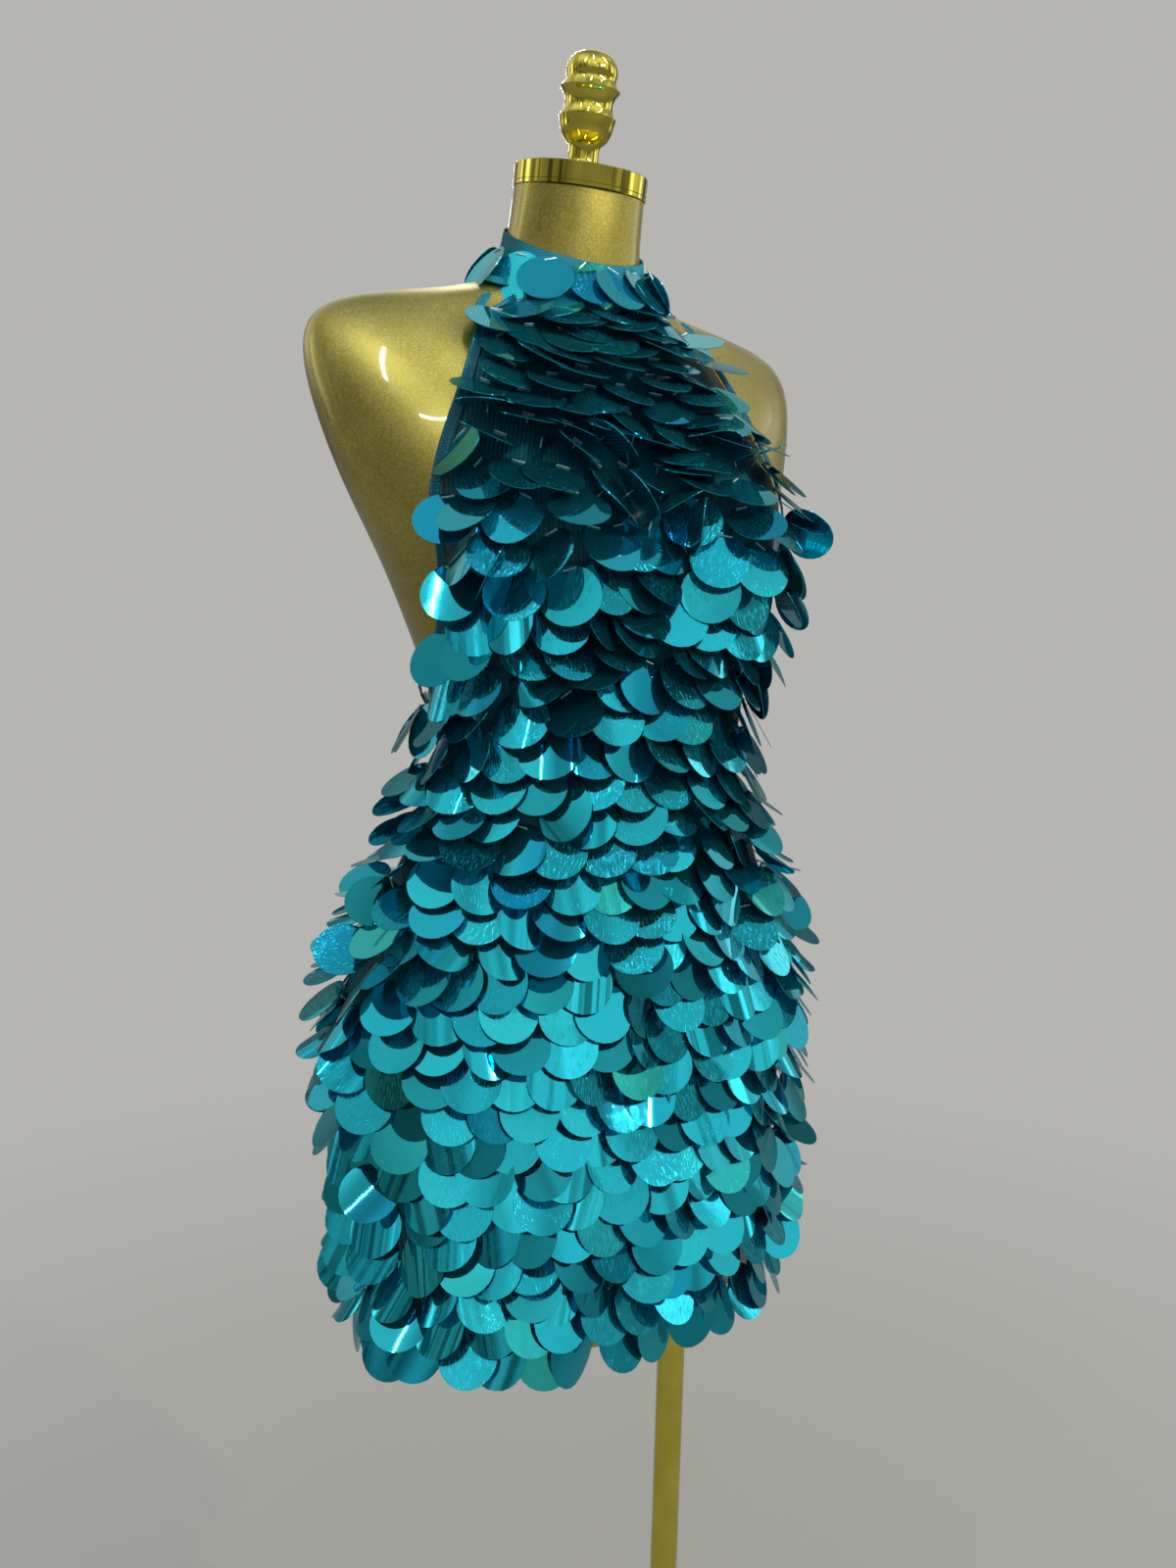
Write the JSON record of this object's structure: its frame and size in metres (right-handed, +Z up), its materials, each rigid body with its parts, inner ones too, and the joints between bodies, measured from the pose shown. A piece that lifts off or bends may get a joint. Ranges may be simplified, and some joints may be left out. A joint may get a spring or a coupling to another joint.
{
  "type": "mini dress on a dress form",
  "caption": "Backless halter mini dress with a stand collar, covered in round mirrored paillettes, worn by a limbless gold dress form on a pole stand.",
  "frame": {"origin": "centre of the round base's underside, on the floor, in line with the pole", "axes": "+Z up along the pole, -Y the way the figure faces, +X the figure's left side"},
  "size_m": [0.4853, 0.3802, 1.5612],
  "materials": {
    "ground_mesh": "semi-sheer teal stretch mesh with fine upright ribs",
    "binding_tape": "folded stretch binding, dull",
    "paillette_film": "mirrored translucent teal film, glossy",
    "button_plastic": "dyed button, glossy",
    "form_paint": "metallic gold lacquer with fine flakes under a clear coat",
    "gold_plating": "polished gold plating"
  },
  "bodies": {
    "root": {"form_torso": "form_paint", "form_neck_cap": "gold_plating", "form_finial": "gold_plating", "stand_base": "gold_plating", "stand_pole": "gold_plating", "stand_socket": "gold_plating", "dress_front": "ground_mesh", "dress_back": "ground_mesh", "dress_collar": "ground_mesh", "dress_binding_left": "binding_tape", "dress_binding_right": "binding_tape", "dress_binding_back": "binding_tape", "paillettes_row_1": "paillette_film", "paillettes_row_2": "paillette_film", "paillettes_row_3": "paillette_film", "paillettes_row_4": "paillette_film", "paillettes_row_5": "paillette_film", "paillettes_row_6": "paillette_film", "paillettes_row_7": "paillette_film", "paillettes_row_8": "paillette_film", "paillettes_row_9": "paillette_film", "paillettes_row_10": "paillette_film", "paillettes_row_11": "paillette_film", "paillettes_row_12": "paillette_film", "paillettes_row_13": "paillette_film", "paillettes_row_14": "paillette_film", "paillettes_row_15": "paillette_film", "paillettes_row_16": "paillette_film", "paillettes_row_17": "paillette_film", "paillettes_row_18": "paillette_film", "paillettes_row_19": "paillette_film", "paillettes_row_20": "paillette_film", "paillettes_row_21": "paillette_film", "paillettes_row_22": "paillette_film", "paillettes_row_23": "paillette_film", "paillettes_row_collar": "paillette_film", "dress_button_lower": "button_plastic", "dress_button_upper": "button_plastic"}
  },
  "joints": []
}
